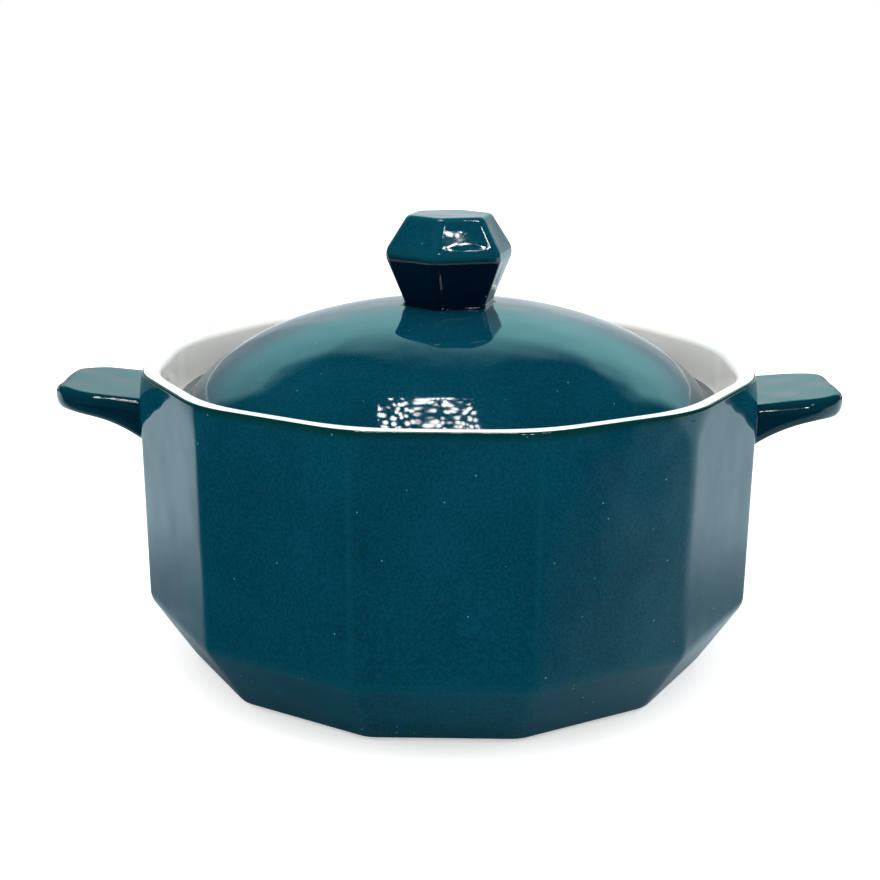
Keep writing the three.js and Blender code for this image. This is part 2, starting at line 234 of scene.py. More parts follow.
# %% Meshes
WELD = 1e-6


def grid_faces(rows, columns, is_loop):
    """Quads of a grid whose columns close round. In a loop the last row joins the first."""
    row = np.arange(rows if is_loop else rows - 1)[:, None] * columns
    above = (row + columns) % (rows * columns)
    column = np.arange(columns)[None, :]
    following = (column + 1) % columns
    corners = [row + column, row + following, above + following, above + column]
    return np.stack(corners, -1).reshape(-1, 4)


def make_piece(name, points, is_loop, **marks):
    """A smooth mesh object from a grid of points in millimetres, with an attribute for each mark."""
    rows, columns, _ = points.shape
    mesh = bpy.data.meshes.new(name)
    mesh.from_pydata((points.reshape(-1, 3) * MM).tolist(), [], grid_faces(rows, columns, is_loop).tolist())
    for mark, values in marks.items():
        mesh.attributes.new(mark, "FLOAT", "POINT").data.foreach_set("value", values.astype(np.float32).ravel())
    weld = bmesh.new()
    weld.from_mesh(mesh)
    bmesh.ops.remove_doubles(weld, verts=weld.verts, dist=WELD)
    rims = [edge for edge in weld.edges if edge.is_boundary]
    bmesh.ops.holes_fill(weld, edges=rims, sides=0)
    weld.to_mesh(mesh)
    weld.free()
    mesh.polygons.foreach_set("use_smooth", np.ones(len(mesh.polygons), bool))
    piece = bpy.data.objects.new(name, mesh)
    bpy.context.scene.collection.objects.link(piece)
    return piece


def settle(piece, node, body, material):
    """Rides the piece on its body in place of a solid, with its finish."""
    piece.data.materials.append(material)
    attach(piece, body)
    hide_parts(node)
    print(piece.name, len(piece.data.polygons), "faces")


def coat_grid(profile, thickness, angle, sides):
    """A closed shell: the outer skin, then the sunk one backwards."""
    outer, thin = skin(profile, angle, sides)
    inner, inner_thin = skin(sunk(profile, thickness), angle, sides)
    return np.concatenate([outer, inner[::-1]]), np.concatenate([thin, 0 * inner_thin])


print("a loop of 4 rows and 12 columns:", len(grid_faces(4, 12, True)), "faces")

# %% [markdown]
# ## Node trees
# Materials are built in code, one line per node. The first helper adds a node, sets its options, and fills each
# input either with a value or with a link from another node. The others wrap the three nodes that come up most.

# %% Node helpers
def add_node(tree, kind, inputs=None, **options):
    """A new node in the tree. Its inputs go by name or by number."""
    node = tree.nodes.new(kind)
    for name, value in options.items():
        setattr(node, name, value)
    for name, value in (inputs or {}).items():
        if isinstance(value, bpy.types.NodeSocket):
            tree.links.new(value, node.inputs[name])
        else:
            node.inputs[name].default_value = value
    return node


def mix_colours(tree, share, first, second):
    """Blends two colours. The Mix node has one set of inputs per kind of data, and 6 and 7 are the colours."""
    mixer = add_node(tree, "ShaderNodeMix", {0: share, 6: first, 7: second}, data_type="RGBA")
    return mixer.outputs[2]


def calculate(tree, operation, *values):
    """One Math node. The values are numbers or links."""
    return add_node(tree, "ShaderNodeMath", dict(enumerate(values)), operation=operation).outputs["Value"]


def spread(tree, value, low, high, to_low=0.0, to_high=1.0):
    """Turns the range low to high of a value into another range, with soft ends."""
    ends = {"Value": value, "From Min": low, "From Max": high, "To Min": to_low, "To Max": to_high}
    return add_node(tree, "ShaderNodeMapRange", ends, interpolation_type="SMOOTHSTEP").outputs["Result"]


print("node helpers:", ", ".join(helper.__name__ for helper in (add_node, mix_colours, calculate, spread)))

# %% [markdown]
# ## What both glazes share
# A glaze is melted glass. Its surface is never quite level, so straight things wobble in its reflections. Its
# colour is a little uneven where it ran thicker, and it holds a few pinholes and trapped specks. Both glazes need
# that, so it is one node group with its own inputs, which puts out masks and a height and leaves the shader to the
# material.

# %% Glaze group
SPECK_CHOSEN = (0.965, 0.97)
SPECK_EDGE = (0.08, 0.16)
CLOUD_RANGE, CLOUD_SHARE = (0.32, 0.68), 0.4
GRAIN_RANGE, GRAIN_SHARE = (0.35, 0.65), 0.6


def new_group(name, sockets):
    """An empty node group with the sockets (in or out, name, kind)."""
    group = bpy.data.node_groups.new(name, "ShaderNodeTree")
    for in_out, socket_name, kind in sockets:
        group.interface.new_socket(socket_name, in_out=in_out, socket_type=kind)
    return group


def build_glaze_group():
    """Noise of three sizes for the level, the clouds and the grain of the colour, and small cells for the specks."""
    group = new_group("glaze_unevenness", [
        ("INPUT", "Ripple Scale", "NodeSocketFloat"),
        ("INPUT", "Cloud Scale", "NodeSocketFloat"),
        ("INPUT", "Grain Scale", "NodeSocketFloat"),
        ("INPUT", "Speck Scale", "NodeSocketFloat"),
        ("OUTPUT", "Height", "NodeSocketFloat"),
        ("OUTPUT", "Cloud", "NodeSocketFloat"),
        ("OUTPUT", "Speck", "NodeSocketFloat"),
    ])
    given = add_node(group, "NodeGroupInput").outputs
    place = add_node(group, "ShaderNodeTexCoord").outputs["Object"]
    ripple = add_node(group, "ShaderNodeTexNoise", {"Vector": place, "Scale": given["Ripple Scale"], "Detail": 1.0})
    cloud = add_node(group, "ShaderNodeTexNoise", {"Vector": place, "Scale": given["Cloud Scale"], "Detail": 3.0})
    grain = add_node(group, "ShaderNodeTexNoise", {"Vector": place, "Scale": given["Grain Scale"], "Detail": 2.0})
    cells = add_node(group, "ShaderNodeTexVoronoi", {"Vector": place, "Scale": given["Speck Scale"]})
    tone = add_node(group, "ShaderNodeSeparateColor", {"Color": cells.outputs["Color"]}).outputs["Red"]
    chosen = spread(group, tone, *SPECK_CHOSEN)
    spot = spread(group, cells.outputs["Distance"], *SPECK_EDGE, 1.0, 0.0)
    speck = calculate(group, "MULTIPLY", chosen, spot)
    patches = spread(group, cloud.outputs["Fac"], *CLOUD_RANGE, 0.0, CLOUD_SHARE)
    dots = spread(group, grain.outputs["Fac"], *GRAIN_RANGE, 0.0, GRAIN_SHARE)
    mottle = calculate(group, "ADD", patches, dots)
    add_node(group, "NodeGroupOutput", {"Height": ripple.outputs["Fac"], "Cloud": mottle, "Speck": speck})
    return group


glaze_group = build_glaze_group()
print("group:", glaze_group.name)

# %% [markdown]
# ## Teal glaze
# The colour is a deep petrol teal, faintly cloudy. It breaks a shade paler over the edges and is greener in a line
# just under the lip, where it ran down and left little. Painted shade makes it almost black under the knob's
# girdle and darker on the lugs. A Principled shader with a low roughness gives the wet gloss, and the reflections
# do the rest.

# %% Teal glaze
TEAL_DEEP = (0.0006, 0.029, 0.048, 1)
TEAL_CLOUD = (0.0016, 0.050, 0.080, 1)
TEAL_THIN = (0.0030, 0.056, 0.078, 1)
TEAL_RIM = (0.0010, 0.026, 0.028, 1)
# painted shade: almost black, under the knob's girdle and on the lugs
TEAL_PAINTED_SHADE = (0.0004, 0.0035, 0.0115, 1)
TEAL_SPECK = (0.12, 0.28, 0.32, 1)
TEAL_RIPPLE = 0.6
GLAZE_SCALES = {"Ripple Scale": 45.0, "Cloud Scale": 30.0, "Grain Scale": 1100.0, "Speck Scale": 520.0}
GLAZE_ROUGHNESS = (0.03, 0.06)
GLAZE_IOR = 1.5


def glaze_material(name, deep, cloud, thin, rim, pool, speck, ripple):
    """Principled glass coat whose colour is laid over by the thin, rim and painted-shade marks, then by the specks.
    """
    material = bpy.data.materials.new(name)
    material.use_nodes = True
    tree = material.node_tree
    shader = tree.nodes["Principled BSDF"]
    uneven = add_node(tree, "ShaderNodeGroup", GLAZE_SCALES, node_tree=glaze_group)
    colour = mix_colours(tree, uneven.outputs["Cloud"], deep, cloud)
    for mark, shade in (("thin", thin), ("rim", rim), ("pool", pool)):
        share = add_node(tree, "ShaderNodeAttribute", attribute_name=mark).outputs["Fac"]
        colour = mix_colours(tree, share, colour, shade)
    colour = mix_colours(tree, uneven.outputs["Speck"], colour, speck)
    roughness = spread(tree, uneven.outputs["Cloud"], 0.0, 1.0, *GLAZE_ROUGHNESS)
    level = add_node(tree, "ShaderNodeBump", {"Strength": ripple, "Distance": MM, "Height": uneven.outputs["Height"]})
    tree.links.new(colour, shader.inputs["Base Color"])
    tree.links.new(roughness, shader.inputs["Roughness"])
    tree.links.new(level.outputs["Normal"], shader.inputs["Normal"])
    shader.inputs["IOR"].default_value = GLAZE_IOR
    return material


teal_glaze = glaze_material(
    "teal_glaze", TEAL_DEEP, TEAL_CLOUD, TEAL_THIN, TEAL_RIM, TEAL_PAINTED_SHADE, TEAL_SPECK, TEAL_RIPPLE,
)
print("material:", teal_glaze.name)

# %% [markdown]
# ## White glaze
# The inside is a warm white over pale clay. It uses the same unevenness with quieter colours.

# %% White glaze
WHITE_DEEP = (0.86, 0.84, 0.79, 1)
WHITE_CLOUD = (0.88, 0.87, 0.83, 1)
WHITE_THIN = (0.86, 0.85, 0.82, 1)
WHITE_SPECK = (0.60, 0.55, 0.47, 1)
WHITE_RIPPLE = 0.2

white_glaze = glaze_material(
    "white_glaze", WHITE_DEEP, WHITE_CLOUD, WHITE_THIN, WHITE_THIN, WHITE_DEEP, WHITE_SPECK, WHITE_RIPPLE,
)
print("material:", white_glaze.name)

# %% [markdown]
# ## Bare clay
# Clay shows only on the foot, in its recess and on the lid's seat, where glaze would stick to the kiln shelf. It is
# matt and sandy: fine grain in the colour, and grains that stand up a little, from a bump.

# %% Bare clay
CLAY_PALE = (0.66, 0.58, 0.47, 1)
CLAY_DARK = (0.50, 0.42, 0.32, 1)
PATCH_SCALE, PATCH_RANGE = 60.0, (0.35, 0.65)
SAND_SCALE, SAND_RANGE = 1400.0, (0.60, 0.75)
SAND_BUMP = 0.3
SAND_ROUGHENS, CLAY_ROUGHNESS = (0.3, 0.7), (0.75, 0.9)


def clay_material():
    """Noise of two sizes: patches between the two colours, and grains of sand that are dark and stand up."""
    material = bpy.data.materials.new("bare_clay")
    material.use_nodes = True
    tree = material.node_tree
    shader = tree.nodes["Principled BSDF"]
    place = add_node(tree, "ShaderNodeTexCoord").outputs["Object"]
    patches = add_node(tree, "ShaderNodeTexNoise", {"Vector": place, "Scale": PATCH_SCALE, "Detail": 4.0})
    grains = add_node(tree, "ShaderNodeTexNoise", {"Vector": place, "Scale": SAND_SCALE, "Detail": 2.0})
    sand = grains.outputs["Fac"]
    colour = mix_colours(tree, spread(tree, patches.outputs["Fac"], *PATCH_RANGE), CLAY_PALE, CLAY_DARK)
    sandy = mix_colours(tree, spread(tree, sand, *SAND_RANGE), colour, CLAY_DARK)
    level = add_node(tree, "ShaderNodeBump", {"Strength": SAND_BUMP, "Distance": MM, "Height": sand})
    tree.links.new(sandy, shader.inputs["Base Color"])
    tree.links.new(spread(tree, sand, *SAND_ROUGHENS, *CLAY_ROUGHNESS), shader.inputs["Roughness"])
    tree.links.new(level.outputs["Normal"], shader.inputs["Normal"])
    return material


bare_clay = clay_material()
print("material:", bare_clay.name)

# %% [markdown]
# ## The pot's profile
# It starts at the foot ring, goes out under the base, up the leaning band to the shoulder, and up the wall, which
# leans out by a millimetre. Over the last stretch the twelve corners soften, because the lip is wiped round with a
# sponge. Inside the lip, a wall with larger corners drops to the round ledge that carries the lid. Below it is the
# hollow with a wide floor curve.

# %% Pot profile
POT_SIDES = 12
POT_HEIGHT = 111.5
POT_CORNER = 7.0
SHOULDER_APOTHEM = 110.3
SHOULDER_HEIGHT = 25.7
SHOULDER_FILLET = 9.0
BASE_APOTHEM = 95.0
BASE_CORNER = 12.0
BASE_FILLET = 2.0
FOOT_HEIGHT = 1.5
FOOT_RADIUS = 86.0
LIP_APOTHEM = 111.2
LIP_INNER_APOTHEM = 104.9
LIP_CORNER = 45.0
LIP_SOFTENING = 13.0
LIP_STATIONS = 7
LIP_FILLET = 1.4
LIP_INNER_FILLET = 2.8
GALLERY_APOTHEM = 104.5
GALLERY_CORNER = 60.0
GALLERY_FILLET = 2.0
LEDGE_HEIGHT = 93.9
LEDGE_RADIUS = 98.0
LEDGE_FILLET = 1.2
HOLLOW_RADIUS = 96.4
FLOOR_HEIGHT = 10.0
FLOOR_FILLET = 24.0
COAT_GAP = 0.3
LONGEST_STRETCH = 5.0
POT_PER_HALF = 11


def wall_apothem(height):
    """The middle of a flat, on the straight line from the shoulder to the lip."""
    return np.interp(height, (SHOULDER_HEIGHT, POT_HEIGHT), (SHOULDER_APOTHEM, LIP_APOTHEM))


def softened_wall():
    """Stations up the last stretch of the wall, whose corner radius grows with the square of the height."""
    share = np.linspace(0, 1, LIP_STATIONS)[:-1]
    height = POT_HEIGHT - LIP_SOFTENING + share * (LIP_SOFTENING - LIP_FILLET)
    corner = POT_CORNER + (LIP_CORNER - POT_CORNER) * share ** 2
    return [(wall_apothem(h), h, c, 0) for h, c in zip(height, corner)]


pot_profile = divided(filleted([
    (FOOT_RADIUS + COAT_GAP, FOOT_HEIGHT, ROUND, 0),
    (BASE_APOTHEM, FOOT_HEIGHT, BASE_CORNER, BASE_FILLET),
    (SHOULDER_APOTHEM, SHOULDER_HEIGHT, POT_CORNER, SHOULDER_FILLET),
    *softened_wall(),
    (LIP_APOTHEM, POT_HEIGHT, LIP_CORNER, LIP_FILLET),
    (LIP_INNER_APOTHEM, POT_HEIGHT, GALLERY_CORNER, LIP_INNER_FILLET),
    (GALLERY_APOTHEM, LEDGE_HEIGHT, GALLERY_CORNER, GALLERY_FILLET),
    (LEDGE_RADIUS, LEDGE_HEIGHT, ROUND, LEDGE_FILLET),
    (HOLLOW_RADIUS, FLOOR_HEIGHT, ROUND, FLOOR_FILLET),
    (0.0, FLOOR_HEIGHT, ROUND, 0),
]), LONGEST_STRETCH)
pot_angles = directions(POT_SIDES, POT_PER_HALF)
print("pot profile:", len(pot_profile), "stations,", len(pot_angles), "directions")

# %% [markdown]
# ## The pot's coats and clay
# The teal coat ends and the white one starts high on the outer edge of the lip. The two meet on one ring of
# points, so no slit shows between them. The rim mark grows towards that ring. The clay under the coats is the same
# profile, sunk by both coat and gap, with the foot ring added.

# %% Pot pieces
COAT = 0.6
BREAK_ANGLE = radians(63)
RIM_START = 108.0
RIM_FULL = 110.5
FOOT_WIDTH = 5.0
FOOT_EDGE = 0.4
RECESS_HEIGHT = 3.5
RECESS_FILLET = 1.0

lip_centre = np.array([LIP_APOTHEM - LIP_FILLET, POT_HEIGHT - LIP_FILLET])
lip_break = lip_centre + LIP_FILLET * np.array([cos(BREAK_ANGLE), sin(BREAK_ANGLE)])
colour_break = np.argmin(np.hypot(*(pot_profile[:, :2] - lip_break).T))

outer_points, outer_thin = coat_grid(pot_profile[:colour_break + 1], COAT, pot_angles, POT_SIDES)
outer_rim = np.clip((outer_points[:, :, 2] - RIM_START) / (RIM_FULL - RIM_START), 0, 1)
pot_outer_coat = make_piece("pot_outer_coat", outer_points, True, thin=outer_thin, rim=outer_rim)
settle(pot_outer_coat, "pot_outer_glaze", "pot", teal_glaze)

liner_points, liner_thin = coat_grid(pot_profile[colour_break:], COAT, pot_angles, POT_SIDES)
pot_liner_coat = make_piece("pot_liner_coat", liner_points, True, thin=liner_thin)
settle(pot_liner_coat, "pot_liner_glaze", "pot", white_glaze)

foot_profile = filleted([
    (0.0, RECESS_HEIGHT, ROUND, 0),
    (FOOT_RADIUS - FOOT_WIDTH, RECESS_HEIGHT, ROUND, RECESS_FILLET),
    (FOOT_RADIUS - FOOT_WIDTH, 0.0, ROUND, FOOT_EDGE),
    (FOOT_RADIUS, 0.0, ROUND, FOOT_EDGE),
    (FOOT_RADIUS, FOOT_HEIGHT + COAT + COAT_GAP, ROUND, 0),
])
clay_profile = np.concatenate([foot_profile, sunk(pot_profile, COAT + COAT_GAP)[1:]])
clay_points, _ = skin(clay_profile, pot_angles, POT_SIDES)
pot_clay = make_piece("pot_clay", clay_points, False)
settle(pot_clay, "pot_body", "pot", bare_clay)

# %% [markdown]
# ## Lug handles
# Each handle is a thick slab, pressed on its own and stuck to a flat of the wall. A box with a bevel would miss the
# sweep of its underside, so it is a section carried out along X: a rectangle with round corners, whose width, top
# and underside change with the distance from the wall. At the root the section flares into a small fillet of slip.

# %% Lug shape
LUG_LENGTH = 35.15
LUG_ROOT_WIDTH = 52.0
LUG_TIP_WIDTH = 48.0
LUG_BELOW_LIP = 11.8
LUG_ROOT_TOP = POT_HEIGHT - LUG_BELOW_LIP
LUG_RISE = 3.5
LUG_ROOT_THICKNESS = 15.9
LUG_TIP_THICKNESS = 9.1
LUG_SWEEP = 2.4
LUG_PLAN_RADIUS = 16.0
LUG_EDGE_RADIUS = 4.0
LUG_TIP_FLAT = 0.5
LUG_FILLET = 1.6
LUG_SUNK = 0.2
LUG_WALL = wall_apothem(LUG_ROOT_TOP - LUG_ROOT_THICKNESS)
LUG_ROOT = LUG_WALL - LUG_SUNK
LUG_TIP = LUG_WALL + LUG_LENGTH
LUG_TIP_PLACES = 21
LUG_SLAB_PLACES = 14


def lug_places():
    """Distances of the sections: close together in the fillet, even along the slab, and on an arc at the tip."""
    quarter = np.linspace(0, np.pi / 2, LUG_TIP_PLACES)
    fillet = LUG_WALL + LUG_FILLET * (1 - np.cos(quarter[:-1:2]))
    slab = np.linspace(LUG_WALL + LUG_FILLET, LUG_TIP - LUG_PLAN_RADIUS, LUG_SLAB_PLACES)[:-1]
    tip = LUG_TIP - LUG_PLAN_RADIUS * (1 - np.sin(quarter))
    return np.concatenate([[LUG_ROOT], fillet, slab, tip])


def lug_limits(x):
    """Half width, top, underside and edge radius of the section at each distance x.
    The underside drops towards the root as (1 - share) ** sweep. Arcs round off the plan, the tip and the root."""
    share = np.clip((x - LUG_WALL) / LUG_LENGTH, 0, 1)
    into_plan = np.maximum(x - (LUG_TIP - LUG_PLAN_RADIUS), 0)
    into_tip = np.maximum(x - (LUG_TIP - LUG_EDGE_RADIUS), 0)
    into_root = np.clip(LUG_FILLET - (x - LUG_WALL), 0, LUG_FILLET)
    plan_inset = LUG_PLAN_RADIUS - np.sqrt(np.maximum(LUG_PLAN_RADIUS ** 2 - into_plan ** 2, 0))
    tip_inset = LUG_EDGE_RADIUS - np.sqrt(np.maximum(LUG_EDGE_RADIUS ** 2 - into_tip ** 2, 0))
    flare = LUG_FILLET - np.sqrt(np.maximum(LUG_FILLET ** 2 - into_root ** 2, 0))
    tip_under = LUG_ROOT_TOP + LUG_RISE - LUG_TIP_THICKNESS
    drop = tip_under - (LUG_ROOT_TOP - LUG_ROOT_THICKNESS)
    half_width = (LUG_ROOT_WIDTH + (LUG_TIP_WIDTH - LUG_ROOT_WIDTH) * share) / 2 - plan_inset + flare
    top = LUG_ROOT_TOP + LUG_RISE * share - tip_inset + flare
    under = tip_under - drop * (1 - share) ** LUG_SWEEP + tip_inset - flare
    radius = np.minimum(LUG_EDGE_RADIUS + flare, (top - under - LUG_TIP_FLAT) / 2)
    return half_width, top, under, radius


print("lug:", len(lug_places()), "sections from", round(LUG_ROOT, 2), "to", round(LUG_TIP, 2), "mm")

# %% [markdown]
# The section's four arcs alone would leave each flat as one wide face, and smooth shading would bend it. So points
# are added along the flats, closer together near the arcs. A slab that was pressed by hand isn't quite flat either:
# two crossed waves of a fifth of a millimetre make the light wander along its edges. Painted shade darkens the lugs'
# glaze, by half on the top and more down the flanks.

# %% Lug pieces
LUG_ARC_STEPS = 7
LUG_FLAT_STEPS = 12
LUG_WAVE = 0.2
LUG_WAVE_ALONG = 4.7
LUG_WAVE_ACROSS = 3.4
# painted shade on the lugs: its share on the top, on the flanks, and the drop below the top over which it grows
LUG_SHADE_TOP = 0.5
LUG_SHADE_FLANK = 0.65
LUG_SHADE_DROP = (0.1 * LUG_EDGE_RADIUS, 0.5 * LUG_EDGE_RADIUS)


def lug_section_columns():
    """For each column, the two arc points it lies between and its share of the way. On an arc the share is 0."""
    arc = np.arange(4 * (LUG_ARC_STEPS + 1)).reshape(4, -1)
    flat_share = (1 - np.cos(np.pi * np.arange(1, LUG_FLAT_STEPS) / LUG_FLAT_STEPS)) / 2
    start = np.concatenate([arc, np.repeat(arc[:, -1:], len(flat_share), 1)], 1)
    end = np.concatenate([arc, np.repeat(np.roll(arc[:, :1], -1, 0), len(flat_share), 1)], 1)
    share = np.concatenate([np.zeros(arc.shape), np.tile(flat_share, (4, 1))], 1)
    return start.ravel(), end.ravel(), share.ravel()


def lug_grid(side):
    """Points of a lug along +X, or turned half round for the other side, with its thin edges and painted shade."""
    x = lug_places()
    half_width, top, under, radius = (limit[:, None] for limit in lug_limits(x))
    heading = (np.pi / 2 * (np.arange(4)[:, None] + np.linspace(0, 1, LUG_ARC_STEPS + 1))).ravel()
    y_sign = np.sign(np.cos(np.pi / 4 + np.pi / 2 * np.arange(4))).repeat(LUG_ARC_STEPS + 1)
    z_sign = np.sign(np.sin(np.pi / 4 + np.pi / 2 * np.arange(4))).repeat(LUG_ARC_STEPS + 1)
    y = y_sign * (half_width - radius) + radius * np.cos(heading)
    z = (top + under) / 2 + z_sign * ((top - under) / 2 - radius) + radius * np.sin(heading)
    start, end, share = lug_section_columns()
    y = y[:, start] + share * (y[:, end] - y[:, start])
    z = z[:, start] + share * (z[:, end] - z[:, start])
    x = np.broadcast_to(x[:, None], y.shape)
    z = z + LUG_WAVE * np.sin(x / LUG_WAVE_ALONG) * np.sin(y / LUG_WAVE_ACROSS)
    past_fillet = np.clip((x - LUG_WALL - LUG_FILLET) / LUG_FILLET, 0, 1)
    thin = np.where(share == 0, past_fillet, 0)
    # painted shade, half on the top and deeper down the flanks
    pool = np.interp(top - z, LUG_SHADE_DROP, (LUG_SHADE_TOP, LUG_SHADE_FLANK))
    return np.stack([side * x, side * y, z], -1), thin, pool


for name, node, side in (("lug_right", "handle_right", 1), ("lug_left", "handle_left", -1)):
    lug_points, lug_thin, lug_pool = lug_grid(side)
    lug = make_piece(name, lug_points, False, thin=lug_thin, pool=lug_pool)
    settle(lug, node, "pot", teal_glaze)

# %% [markdown]
# ## The lid
# The lid is round, so it can be set down at any turn. Its dome is one smooth curve, steep at the edge and flat under
# the knob. A cubic Bezier curve gives that with four points. A flat flange runs round the dome and lies on the ledge.

# %% Lid profile
LID_RADIUS = 101.3
LID_BOTTOM = 94.2
FLANGE_TOP = 98.7
LID_CROWN = 132.8
DOME_RADIUS = 96.7
DOME_POINTS = np.array([(DOME_RADIUS, FLANGE_TOP), (82.94, 119.57), (45.4, LID_CROWN), (0.0, LID_CROWN)])
LID_THICKNESS = 5.6
LID_EDGE = 1.6
SEAT_WIDTH = 3.2
CREASE_FILLET = 1.8
CREASE_SHARE = 0.05
SEAT_OUTER = LID_RADIUS - LID_EDGE
SEAT_INNER = SEAT_OUTER - SEAT_WIDTH
DOME_STATIONS = 44
LID_PER_HALF = 8


def bezier(points, share):
    """Each point weighs in with its share of (1 - t + t) cubed: (1-t)^3, 3t(1-t)^2, 3t^2(1-t), t^3."""
    t = share[:, None]
    start = (1 - t) ** 3 * points[0] + 3 * t * (1 - t) ** 2 * points[1]
    return start + 3 * t ** 2 * (1 - t) * points[2] + t ** 3 * points[3]


def with_corner(points):
    """Round stations: the corner radius is the distance itself."""
    return np.column_stack([points, points[:, 0]])


dome = bezier(DOME_POINTS, np.linspace(CREASE_SHARE, 1, DOME_STATIONS))
edge = filleted([
    (SEAT_OUTER, LID_BOTTOM, ROUND, 0),
    (LID_RADIUS, LID_BOTTOM, ROUND, LID_EDGE),
    (LID_RADIUS, FLANGE_TOP, ROUND, LID_EDGE),
    (DOME_RADIUS, FLANGE_TOP, ROUND, CREASE_FILLET),
    (*dome[0], ROUND, 0),
])[1:-1]
lid_top_profile = divided(np.concatenate([edge, with_corner(dome)]), LONGEST_STRETCH)
whole_dome = bezier(DOME_POINTS, np.linspace(0, 1, DOME_STATIONS))
under_dome = sunk(with_corner(whole_dome), LID_THICKNESS)[::-1]
lid_under_profile = divided(np.concatenate([under_dome, [(SEAT_INNER, LID_BOTTOM, ROUND)]]), LONGEST_STRETCH)
lid_angles = directions(POT_SIDES, LID_PER_HALF)
print("lid profiles:", len(lid_top_profile), "and", len(lid_under_profile), "stations")

# %% [markdown]
# Like the pot, the lid is clay between two coats. A bare ring is left on its underside, where it lies on the ledge.

# %% Lid pieces
top_points, top_thin = coat_grid(lid_top_profile, COAT, lid_angles, POT_SIDES)
lid_top_coat = make_piece("lid_top_coat", top_points, True, thin=top_thin)
settle(lid_top_coat, "lid_top_glaze", "lid", teal_glaze)

under_points, under_thin = coat_grid(lid_under_profile, COAT, lid_angles, POT_SIDES)
lid_under_coat = make_piece("lid_under_coat", under_points, True, thin=under_thin)
settle(lid_under_coat, "lid_under_glaze", "lid", white_glaze)

seat_profile = with_corner(np.array([(SEAT_INNER, LID_BOTTOM), (SEAT_OUTER - COAT_GAP, LID_BOTTOM)]))
lid_clay_profile = np.concatenate([
    sunk(lid_under_profile, COAT + COAT_GAP), seat_profile, sunk(lid_top_profile, COAT + COAT_GAP),
])
lid_clay_points, _ = skin(lid_clay_profile, lid_angles, POT_SIDES)
lid_clay = make_piece("lid_clay", lid_clay_points, False)
settle(lid_clay, "lid_body", "lid", bare_clay)

# %% [markdown]
# ## The knob
# Two six-sided cones meet at a girdle, like a cut stone. The same rings do it with six sides. Its foot runs out on
# the dome in a small hollow curve, where the slip that holds it was wiped. Below the girdle the glaze is darkened
# with painted shade. The upper faces sank a little in drying, and a mirror shows even a third of a millimetre: a
# lamp then gleams along all four borders of a face and once more in the hollow between them.

# %% Knob
KNOB_SIDES = 6
KNOB_TURN = radians(-13)
KNOB_CORNER = 4.0
KNOB_FOOT = 15.1
KNOB_FOOT_FILLET = 1.5
KNOB_FLARE = 1.8
KNOB_FLARE_DROP = 1.0
KNOB_GIRDLE = 22.05
KNOB_GIRDLE_RISE = 18.8
KNOB_GIRDLE_FILLET = 7.0
KNOB_TOP = 14.25
KNOB_TOP_RISE = 32.4
KNOB_TOP_FILLET = 2.2
KNOB_STRETCH = 0.8
KNOB_PER_HALF = 18
GIRDLE_HEIGHT = LID_CROWN + KNOB_GIRDLE_RISE
TOP_HEIGHT = LID_CROWN + KNOB_TOP_RISE
# painted shade grows over this many millimetres below the girdle
KNOB_SHADE_DEPTH = 2.5
DISH_DEPTH = 0.3
DISH_LOW = GIRDLE_HEIGHT + 1.8
DISH_HIGH = TOP_HEIGHT - 1.0


def dished(points):
    """The points sunk along each face's normal by depth * (1 - u^2)^2 * (1 - v^4)^2, where u runs across a face
    and v up it, both from -1 to 1."""
    half = np.pi / KNOB_SIDES
    angle = np.arctan2(points[:, :, 1], points[:, :, 0]) - KNOB_TURN
    off_middle = (angle + half) % (2 * half) - half
    middle = angle - off_middle + KNOB_TURN
    across = np.tan(off_middle) / np.tan(half)
    along = (2 * points[:, :, 2] - DISH_LOW - DISH_HIGH) / (DISH_HIGH - DISH_LOW)
    sink = DISH_DEPTH * np.maximum(1 - across ** 2, 0) ** 2 * np.maximum(1 - along ** 4, 0) ** 2
    lean = np.arctan2(KNOB_GIRDLE - KNOB_TOP, TOP_HEIGHT - GIRDLE_HEIGHT)
    level = np.cos(lean)
    normal = np.stack([level * np.cos(middle), level * np.sin(middle), np.full(middle.shape, np.sin(lean))], -1)
    return points - sink[:, :, None] * normal


knob_profile = divided(filleted([
    (KNOB_FOOT + KNOB_FLARE, LID_CROWN - KNOB_FLARE_DROP, KNOB_CORNER, 0),
    (KNOB_FOOT, LID_CROWN, KNOB_CORNER, KNOB_FOOT_FILLET),
    (KNOB_GIRDLE, GIRDLE_HEIGHT, KNOB_CORNER, KNOB_GIRDLE_FILLET),
    (KNOB_TOP, TOP_HEIGHT, KNOB_CORNER, KNOB_TOP_FILLET),
    (0.0, TOP_HEIGHT, KNOB_CORNER, 0),
]), KNOB_STRETCH)
knob_angles = directions(KNOB_SIDES, KNOB_PER_HALF, KNOB_TURN)
knob_points, knob_thin = skin(knob_profile, knob_angles, KNOB_SIDES, KNOB_TURN)
# painted shade below the girdle
knob_pool = np.clip((GIRDLE_HEIGHT - knob_points[:, :, 2]) / KNOB_SHADE_DEPTH, 0, 1)
lid_knob = make_piece("lid_knob", dished(knob_points), False, thin=knob_thin, pool=knob_pool)
settle(lid_knob, "knob", "lid", teal_glaze)

# %% [markdown]
# ## The floor
# A glossy pot is lit by what it mirrors. It stands on a white sheet that mirrors show bright at its two sides and
# dark in front and behind: so the flats that face the camera stay deep, and those that turn away go pale. A ring
# round the pot is painted half dark for mirrors only, a painted shadow that makes the flats darker near the floor.
# For the camera the floor is lifted to white, and it keeps the soft shadow. From below it can be seen through.

